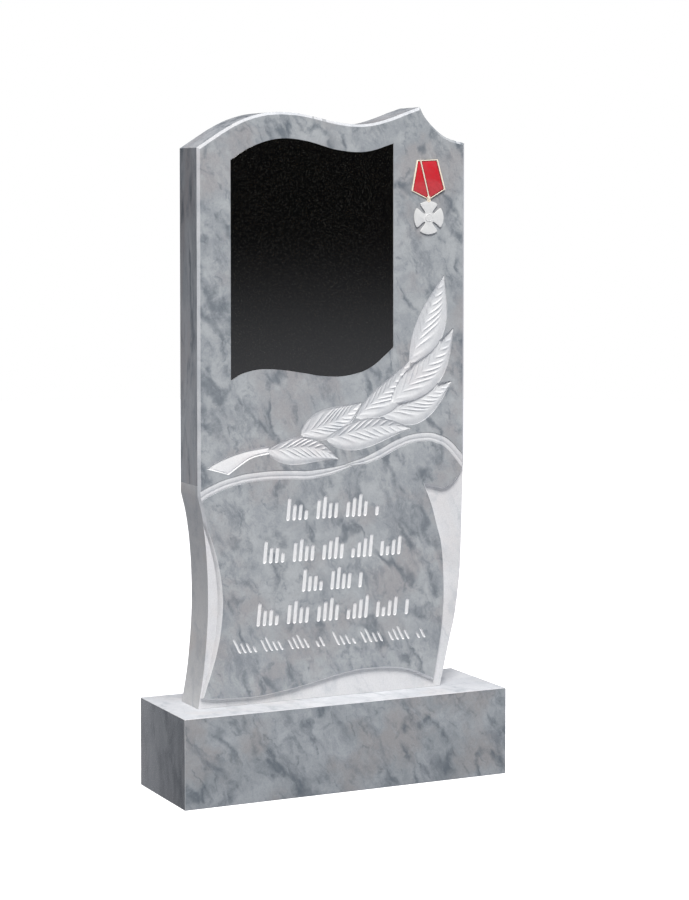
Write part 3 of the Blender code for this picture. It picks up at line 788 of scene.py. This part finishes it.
def bead_depth(place):
    """Depth across the hem, from its lower edge, -1, to its upper edge, 1: a slim bead, then a fuller one."""
    upper, lower = HEM_BEADS
    middle, reach, crest, foot = upper if place > upper[0] - upper[1] else lower
    share = min(1, abs(place - middle) / reach)
    low = HEM_GROOVE_DEPTH if lower[0] < place < upper[0] else foot
    return low + (crest - low) * math.sqrt(1 - share**2)


def hem_rows(knots, taper_start, taper_end):
    """Rows across a stretch of the hem. A taper is the share of the stretch over which an end narrows."""
    places = [-math.cos(math.pi * i / HEM_PLACES) for i in range(HEM_PLACES + 1)]
    line = smooth_line(knots, HEM_STEP)
    normals = side_normals(line, False)
    rows = []
    for i, (point, normal) in enumerate(zip(line, normals)):
        along = i / (len(line) - 1)
        full = 1
        if taper_start:
            full = min(full, along / taper_start)
        if taper_end:
            full = min(full, (1 - along) / taper_end)
        half = ROLL_TIP_HALF_WIDTH + (ROLL_HALF_WIDTH - ROLL_TIP_HALF_WIDTH) * math.sin(full * math.pi / 2)
        row = []
        for place in places:
            spot = point + normal * place * half
            row.append((spot.x, spot.y, bead_depth(place)))
        rows.append(row)
    return rows


def leaf_spot(leaf, along, across):
    """A leaf's point: along is 0 at its base and 1 at its tip, and across -1 at its far edge and 1 near."""
    base, tip = face_point(leaf.base), face_point(leaf.tip)
    way = tip - base
    side = Vector((-way.y, way.x))
    half = (leaf.far if across < 0 else leaf.near) * math.sin(math.pi * along**LEAF_FULLNESS)
    return base + way * along + side * (leaf.bow * math.sin(math.pi * along**BOW_POWER) - across * half)


def leaf_depth(leaf, across, crest, along):
    """Depth below the face: a fall from the far edge to the midrib, a rise to the ridge, a smooth band."""
    fade = max(0, math.sin(math.pi * along)) ** RELIEF_POWER
    if across <= LEAF_RIM_PLACE:
        return leaf.edge_depth
    midrib = RIDGE_DEPTH + (MIDRIB_DEPTH - RIDGE_DEPTH) * fade
    if across <= 0:
        share = across / LEAF_FIELD_PLACE
        depth = midrib + (leaf.edge_depth + LEAF_RIM_DROP - midrib) * share
    elif across <= RIDGE_PLACE:
        share = across / RIDGE_PLACE
        depth = midrib + (RIDGE_DEPTH - midrib) * share
    else:
        share = (across - RIDGE_PLACE) / (1 - RIDGE_PLACE)
        return RIDGE_DEPTH + (BAND_EDGE_DEPTH - RIDGE_DEPTH) * share**2
    stroke = max(0, math.sin(math.pi * min(1, share))) ** VEIN_POWER
    crispness = 1 + VEIN_TAPER * (1 - share)
    return depth - VEIN_HEIGHT * (crest**crispness - VEIN_HOLLOW) * stroke * fade


def leaf_rows(leaf):
    """Rows across a leaf that sweep towards its tip as its veins do, over the crests and hollows of them."""
    far = [-1, LEAF_RIM_PLACE, *[LEAF_FIELD_PLACE * (1 - i / LEAF_PLACES) for i in range(LEAF_PLACES)]]
    near = [RIDGE_PLACE * i / LEAF_PLACES for i in range(LEAF_PLACES)]
    band = [RIDGE_PLACE + (1 - RIDGE_PLACE) * i / BAND_PLACES for i in range(BAND_PLACES + 1)]
    rows = []
    count = VEINS * ROWS_PER_VEIN
    for i in range(count + 1):
        start = LEAF_TRIM + (1 - 2 * LEAF_TRIM) * i / count
        crest = (0.5 - 0.5 * math.cos(math.tau * i / ROWS_PER_VEIN)) ** VEIN_SHARPNESS
        ramp = math.sin(math.pi / 2 * min(1, start / VEIN_START))
        row = []
        for across in [*far, *near, *band]:
            half = leaf.far if across < 0 else leaf.near
            along = start + VEIN_PULL * half * abs(across) * (1 - start) * ramp
            spot = leaf_spot(leaf, along, across)
            row.append((spot.x, spot.y, max(RIDGE_DEPTH, leaf_depth(leaf, across, crest, along))))
        rows.append(row)
    return rows


def strip_mask(name, rows):
    """A plain prism a little inside a strip's long sides, to keep off it the cuts of what lies under it."""
    sides = []
    for row in rows[::2]:
        first, last = Vector(row[0][:2]), Vector(row[-1][:2])
        inset = (last - first).normalized() * STRIP_OVERLAP
        if (last - first).length > MASKED_WIDTH:
            sides.append((first + inset, last - inset))
    outline = [first for first, _ in sides] + [last for _, last in reversed(sides)]
    return plate(name, [outline], FACE - 2 * CUT_MARGIN, FACE + 2 * CUT_MARGIN, rubbed_marble)


def stem_row(upper, lower, end_depth=None):
    """A row across the stem. One with an end_depth lies beyond the cut end, at that depth all over."""
    way = (upper - lower).normalized()
    marks = [(lower + way * reach, depth) for reach, depth in (*STEM_BANK, *STEM_LOWER_EDGE)]
    for share in STEM_CROWN_PLACES:
        marks.append((upper.lerp(lower, share), STEM_CROWN_DEPTH + STEM_TILT * (1 - share)))
    marks += [(upper - way * reach, depth) for reach, depth in (*STEM_UPPER_EDGE, *reversed(STEM_BANK))]
    rim = (0, len(marks) - 1)
    return [
        (spot.x, spot.y, depth if end_depth is None or i in rim else end_depth)
        for i, (spot, depth) in enumerate(marks)
    ]


def stem_rows():
    """Rows along the stem, from the moat in front of its cut end to where it runs in under a leaf."""
    top = smooth_line(STEM_TOP, STEM_STEP)
    foot = smooth_line(STEM_FOOT, STEM_STEP)
    along_top = (top[1] - top[0]).normalized()
    along_foot = (foot[1] - foot[0]).normalized()
    rows = []
    for reach, depth in ((STEM_MOAT, STEM_RIM_DEPTH), (STEM_SHOULDER / 2, STEM_MOAT_DEPTH)):
        rows.append(stem_row(top[0] - along_top * reach, foot[0] - along_foot * reach, depth))
    rows.append(stem_row(top[0] + along_top * STEM_SHOULDER, foot[0] + along_foot * STEM_SHOULDER))
    for i in range(1, STEM_ROWS + 1):
        share = i / STEM_ROWS
        upper = top[max(STEM_CUT_END, round(share * (len(top) - 1)))]
        lower = foot[max(STEM_CUT_END, round(share * (len(foot) - 1)))]
        rows.append(stem_row(upper, lower))
    return rows


def stroke_ring(x, foot, tall, lean, width, side):
    """The outline of a round-ended leaning stroke, on its floor for a side of 1, and in front for -1."""
    trim = side * STROKE_SLOPE
    half = width / 2 - trim
    ring = []
    for centre, start in ((foot + tall - trim - half, 0), (foot + trim + half, math.pi)):
        for i in range(STROKE_END_SIDES + 1):
            angle = start + math.pi * i / STROKE_END_SIDES
            up = centre + half * math.sin(angle)
            ring.append((x + half * math.cos(angle) + lean * (up - foot), FACE + side * STROKE_DEPTH, up))
    return ring


def inscription_cutter():
    """Rows of short leaning strokes with sloped sides, which show on the face at their full width."""
    bm = bmesh.new()
    for left, right, foot, height, pitch, lean, width in ROWS:
        low = face_point((left, foot))
        high = face_point((right, foot + height))
        count = round((right - left) / pitch)
        for i in range(count + 1):
            if i % STROKE_GROUP == STROKE_GROUP - 1:
                continue
            tall = (high.y - low.y) * STROKE_BEAT[i % len(STROKE_BEAT)]
            x = low.x + (high.x - low.x) * i / count
            inner, outer = [
                [bm.verts.new(point) for point in stroke_ring(x, low.y, tall, lean, width, side)]
                for side in (1, -1)
            ]
            add_wall(bm, inner, outer)
            bm.faces.new(inner)
            bm.faces.new(outer)
    return mesh_object("cut_inscription", bm, blasted_marble)


def finish_of_stone(face):
    """Polished in front, ground on the chamfer, sawn behind and, on the narrow sides, below the waist's top.

    The chamfer over the top is polished and painted paler, a painted highlight where it faces up into the
    light; on the hollow shoulder, which faces away, it keeps the face's colour.
    """
    way = face.normal
    if way.y < -FACING:
        return polished_marble
    if way.y < -SLANTING and way.z > SLANTING:
        return polished_marble if way.x > SHOULDER_SLANT else arris_highlight_marble
    if way.y < -SLANTING:
        return ground_arris
    if way.y > SLANTING or face.center.z < face_point(WAIST_TOP).y:
        return sawn_marble
    return side_marble


def keep_face_flat(obj):
    """Shades the polished face flat, with crisp edges round the carving in it."""
    bm = bmesh.new()
    bm.from_mesh(obj.data)
    for face in bm.faces:
        if face.normal.y < -0.9999 and abs(face.calc_center_median().y - FACE) < 0.05 * MM:
            face.smooth = False
            for side in face.edges:
                side.smooth = False
    bm.to_mesh(obj.data)
    bm.free()


def build_stele():
    outline = joined(
        smooth_line(LEFT_WAIST), [face_point(WAIST_TOP)], smooth_line(TOP_WAVE), smooth_line(RIGHT_SHOULDER),
        smooth_line(RIGHT_WAIST),
    )
    stele = plate("carved_stele", [outline], FACE, BACK, polished_marble)
    chamfer_rim(stele, FACE, FRONT_CHAMFER)
    chamfer_rim(stele, BACK, BACK_CHAMFER)
    finishes = (polished_marble, ground_arris, side_marble, sawn_marble, arris_highlight_marble)
    give_finishes(stele, finishes, finish_of_stone)
    edge = joined(smooth_line(PANEL_TOP), smooth_line(PANEL_FOOT))
    recess = offset_line(edge, [PANEL_GAP] * len(edge), closed=True)
    floor = FACE + PANEL_THICK + PANEL_GAP
    cutters = [plate("cut_recess", [recess], FACE - CUT_MARGIN, floor, sawn_marble), ground_cutter()]
    right_rows = hem_rows(HEM_RIGHT, HEM_RIGHT_TAPER, 0)
    hem_right = carved_strip("cut_hem_right", right_rows, rubbed_marble)
    hem_left = carved_strip("cut_hem_left", hem_rows(HEM_LEFT, 0, HEM_LEFT_TAPER), rubbed_marble)
    hem_mask = strip_mask("mask_hem_right", right_rows)
    add_cut(hem_left, "clear_of_right").object = hem_mask
    cutters += [hem_right, hem_left]
    rows = {name: leaf_rows(leaf) for name, leaf in LEAVES.items()}
    masks = {name: strip_mask("mask_" + name, rows[name]) for name in rows}
    for name, leaf in LEAVES.items():
        cutter = carved_strip("cut_" + name, rows[name], rubbed_marble)
        for over in leaf.over:
            add_cut(cutter, "clear_of_" + over).object = masks[over]
        cutters.append(cutter)
    stem = carved_strip("cut_stem", stem_rows(), blasted_marble)
    add_cut(stem, "clear_of_leaf_low").object = masks["leaf_low"]
    cutters += [stem, inscription_cutter()]
    carve(stele, cutters, [*masks.values(), hem_mask])
    weld_slivers(stele)
    shade(stele, STELE_CREASE)
    keep_face_flat(stele)
    dress(stele, "stele")


# Plinth and panel

def finish_of_plinth(face):
    """Ground on the arris, darker on the ends with painted shade, sawn underneath, paler and duller on top
    with a painted highlight, and else polished.
    """
    way = face.normal
    if max(abs(part) for part in way) < PLINTH_SQUARE:
        return ground_arris
    if abs(way.x) > PLINTH_SQUARE:
        return plinth_end_shade_marble
    if way.z < -PLINTH_SQUARE:
        return sawn_marble
    if way.z > PLINTH_SQUARE:
        return plinth_top_highlight_marble
    return plinth_marble


def build_plinth():
    bm = bmesh.new()
    bmesh.ops.create_cube(bm, size=1)
    bmesh.ops.scale(bm, vec=PLINTH_HIGH - PLINTH_LOW, verts=bm.verts)
    bmesh.ops.translate(bm, vec=(PLINTH_LOW + PLINTH_HIGH) / 2, verts=bm.verts)
    bmesh.ops.bevel(bm, geom=bm.edges, offset=PLINTH_ARRIS, segments=3, profile=0.6, affect="EDGES")
    plinth = mesh_object("marble_plinth", bm, plinth_marble)
    finishes = (plinth_marble, ground_arris, plinth_end_shade_marble, sawn_marble, plinth_top_highlight_marble)
    give_finishes(plinth, finishes, finish_of_plinth)
    shade(plinth, PLINTH_CREASE)
    dress(plinth, "plinth")


def build_panel():
    edge = joined(smooth_line(PANEL_TOP), smooth_line(PANEL_FOOT))
    panel = plate("gabbro_panel", [edge], FACE, FACE + PANEL_THICK, gabbro)
    chamfer_rim(panel, FACE, PANEL_ARRIS)
    dress(panel, "portrait_panel")


# Medal

def arc(centre, radius, start, end, count):
    """Points on an arc, from one angle to another, in radians."""
    angles = [start + (end - start) * i / count for i in range(count + 1)]
    return [centre + radius * Vector((math.cos(angle), math.sin(angle))) for angle in angles]


def cross_outline(centre):
    """A cross with four flared arms that end on one circle, and a rounded notch on each diagonal."""
    line = []
    inner = CROSS_RADIUS * CROSS_GAP_REACH
    widest = CROSS_GAP_RIM + CROSS_CORNER
    rim = math.sqrt(CROSS_RADIUS**2 - widest**2)
    notch = math.asin(widest / CROSS_RADIUS)
    flank = []
    for i in range(CROSS_FLANK_STEPS + 1):
        share = 1 - i / CROSS_FLANK_STEPS
        flare = (CROSS_GAP_RIM - CROSS_GAP_INNER) * share**CROSS_FLARE
        corner = CROSS_CORNER * max(0, 1 - (1 - share) / CROSS_CORNER_SHARE) ** 2
        flank.append((inner + (rim - inner) * share, CROSS_GAP_INNER + flare + corner))
    for quarter in range(4):
        diagonal = math.pi / 4 + quarter * math.pi / 2
        way = Vector((math.cos(diagonal), math.sin(diagonal)))
        side = Vector((-way.y, way.x))
        line += [centre + way * r - side * half for r, half in flank]
        line.append(centre + way * (inner - CROSS_GAP_INNER))
        line += [centre + way * r + side * half for r, half in reversed(flank)]
        end = arc(centre, CROSS_RADIUS, diagonal + notch, diagonal + math.pi / 2 - notch, CROSS_RIM_STEPS)
        line += end[1:-1]
    return line


def inset_corners(corners, widths):
    """A polygon drawn in from each side by that side's own width. Side i runs from corner i to the next."""
    lines = []
    for i, corner in enumerate(corners):
        way = (corners[(i + 1) % len(corners)] - corner).normalized()
        lines.append((corner + Vector((-way.y, way.x)) * widths[i], way))
    inner = []
    for i, (start, way) in enumerate(lines):
        other, along = lines[i - 1]
        reach = (start - other).cross(way) / along.cross(way)
        inner.append(other + along * reach)
    return inner


def ribbon_fold(name, corners, widths, front, back):
    """One fold of the ribbon: a cream border, a darker red bed in it that shows round the field as painted
    shade, and a red field with softened edges.
    """
    inner = inset_corners(corners, widths)
    border = plate(name + "_border", [corners, inner], front, back, cream_enamel)
    chamfer_rim(border, front, BORDER_ARRIS)
    # The bed's darker red, which shows in a strip round the field, is painted shade along the rims
    shade_bed_outline = inset_corners(inner, [-BED_OVERLAP] * len(inner))
    bed = plate(name + "_bed", [shade_bed_outline], front + BED_SUNK, back, painted_shade_red_enamel)
    field_outline = inset_corners(inner, [SHADE_RIM_INSET] * len(inner))
    field = plate(name + "_field", [field_outline], front + FIELD_SUNK, back, red_enamel)
    chamfer_rim(field, front + FIELD_SUNK, FIELD_ARRIS, 2)
    return [border, bed, field]


def turned(name, profile, centre, material, has_hole=False):
    """A turned shape that faces out of the stone. Its profile is pairs of radius and y, from the back."""
    sections = []
    for radius, y in profile:
        sections.append([(x, y, z) for x, z in arc(centre, radius, 0, math.tau, TURNED_SIDES)[:-1]])
    return loft(name, sections, material, has_hole)


def washer(name, centre, radius, front, back):
    """A small round washer with softened edges, coated with the cream enamel."""
    outer = ((0, WASHER_SOFT), (WASHER_ROUND, WASHER_ROUND), (WASHER_SOFT, 0))
    profile = [(radius, back)]
    profile += [(radius - inset, front + drop) for inset, drop in outer]
    profile += [(WASHER_HOLE + inset, front + drop) for inset, drop in reversed(outer)]
    profile.append((WASHER_HOLE, back))
    return turned(name, profile, centre, cream_enamel, has_hole=True)


def ribbon_folds(point, front, back):
    """The ribbon, whose right fold lies over its left one. The point is the tip that the cross hangs from."""
    lean = Matrix.Rotation(math.radians(RIBBON_TILT), 2)
    left_top, left_low, right_low, right_top = [
        point + lean @ Vector((x, y + RIBBON_FALL + RIBBON_POINT))
        for x, y in (
            (-RIBBON_TOP / 2, 0), (-RIBBON_WIDE / 2, -RIBBON_FALL), (RIBBON_WIDE / 2, -RIBBON_FALL),
            (RIBBON_TOP / 2, 0),
        )
    ]
    fold_top = left_top + Vector((FOLD_TOP, 0))
    under = [left_top, left_low, point, point.lerp(right_low, FOLD_TUCK), fold_top.lerp(right_top, FOLD_TUCK)]
    under_widths = (RIBBON_BORDER, RIBBON_HEM, FOLD_EDGE, FOLD_EDGE, RIBBON_HEM)
    over = [fold_top, point, right_low, right_top]
    over_widths = (FOLD_BORDER, RIBBON_HEM, RIBBON_BORDER, RIBBON_HEM)
    middle = (front + back) / 2
    return [
        *ribbon_fold("ribbon_under", under, under_widths, middle, back),
        *ribbon_fold("ribbon_over", over, over_widths, front, middle),
    ]


def build_medal():
    back = FACE - MEDAL_GAP
    front = back - MEDAL_THICK
    crown = front + CROSS_SUNK
    point = face_point(MEDAL_PLACE) - Vector((0, RIBBON_FALL + RIBBON_POINT))
    ring_centre = point - Vector((0, RING_DROP))
    cross_centre = ring_centre - Vector((0, RING_DROP + CROSS_RADIUS))
    eyelet_centre = ring_centre + Vector(EYELET_PLACE)
    cross = plate("cross", [cross_outline(cross_centre)], crown, back, white_enamel)
    chamfer_rim(cross, crown, CROSS_ARRIS, 3)
    boss_profile = [(BOSS_PROFILE[0][0] * MM, back - BOSS_CLEAR)]
    boss_profile += [(radius * MM, crown - rise * MM) for radius, rise in BOSS_PROFILE]
    pieces = [
        *ribbon_folds(point, front, back),
        cross,
        turned("boss", boss_profile, cross_centre, white_enamel),
        washer("ring", ring_centre, RING_RADIUS, front + RING_CLEAR, back - RING_CLEAR),
        washer("eyelet", eyelet_centre, EYELET_RADIUS, front - EYELET_RISE, back - EYELET_CLEAR),
    ]
    for piece in pieces:
        shade(piece, MEDAL_CREASE)
    medal = pieces[0]
    with bpy.context.temp_override(active_object=medal, selected_editable_objects=pieces):
        bpy.ops.object.join()
    medal.name = "enamelled_medal"
    dress(medal, "medal")


# Studio

def build_floor():
    """A plain pale floor. It bounces no light, since the surroundings below it do, so the sides stay dark."""
    bm = bmesh.new()
    bmesh.ops.create_circle(bm, cap_ends=True, radius=FLOOR_RADIUS, segments=96)
    material, tree, shader = new_material("matt_white_floor")
    feed(tree, shader, {
        "Base Color": linear("#F4F4F4"), "Roughness": 0.9, "Specular IOR Level": 0,
        "Emission Color": linear("#FFFFFF"), "Emission Strength": FLOOR_GLOW,
    })
    floor = mesh_object("floor", bm, material)
    floor.visible_diffuse = False
    floor.visible_glossy = False


def build_light():
    """Soft light from overhead, a wide key from high in front, and a white backdrop that only the eye sees.

    The surroundings are dark at eye level and pale below it, which the polished panel mirrors, and they are
    dimmer on the left, which keeps the narrow sides dark.
    """
    world = bpy.data.worlds.new("studio")
    bpy.context.scene.world = world
    world.use_nodes = True
    tree = world.node_tree
    tree.nodes.clear()
    direction = add_node(tree, "TexCoord").outputs["Generated"]
    parts = add_node(tree, "SeparateXYZ", (direction,))
    sockets = (parts.outputs["X"], DIM_END, DIM_START, LEFT_DIMMED, 1)
    strength = add_node(tree, "MapRange", sockets, **SMOOTH)
    for band in STUDIO_BANDS:
        share = add_node(tree, "MapRange", (parts.outputs["Z"], *band), **SMOOTH)
        strength = add_node(tree, "Math", (strength, share), operation="MULTIPLY")
    sky = add_node(tree, "Background", {"Color": linear("#F6F8FF"), "Strength": strength})
    backdrop = add_node(tree, "Background", {"Color": linear("#FFFFFF"), "Strength": 1})
    seen = add_node(tree, "LightPath").outputs["Is Camera Ray"]
    mixed = add_node(tree, "MixShader", (seen, sky, backdrop))
    add_node(tree, "OutputWorld", {"Surface": mixed})
    key = add_object("key", bpy.data.lights.new("key", "AREA"))
    key.data.shape = "SQUARE"
    key.data.size = KEY_SIZE
    key.data.energy = KEY_WATTS
    key.data.color = linear("#FFFCF8")[:3]
    turn = math.radians(KEY_FROM_LEFT)
    rise = math.radians(KEY_RISE)
    way = Vector((-math.sin(turn) * math.cos(rise), -math.cos(turn) * math.cos(rise), math.sin(rise)))
    key.location = Vector(KEY_TARGET) + way * KEY_DISTANCE
    key.rotation_euler = way.to_track_quat("Z", "Y").to_euler()


def build_camera():
    """The photograph's view, with the lens raised instead of tilted as far as its framing asks."""
    data = bpy.data.cameras.new("camera")
    data.sensor_width = SENSOR
    data.lens = FOCUS_PIXELS * SENSOR / max(PHOTO_WIDTH, PHOTO_HEIGHT)
    data.shift_y = CAMERA_SHIFT
    camera = add_object("camera", data)
    camera.location = CAMERA_PLACE
    camera.rotation_euler = (math.radians(90 - CAMERA_PITCH), 0, math.radians(-CAMERA_YAW))
    bpy.context.scene.camera = camera
    bpy.context.scene.view_settings.view_transform = "Standard"


build_camera()
build_stele()
build_plinth()
build_panel()
build_medal()
build_floor()
build_light()
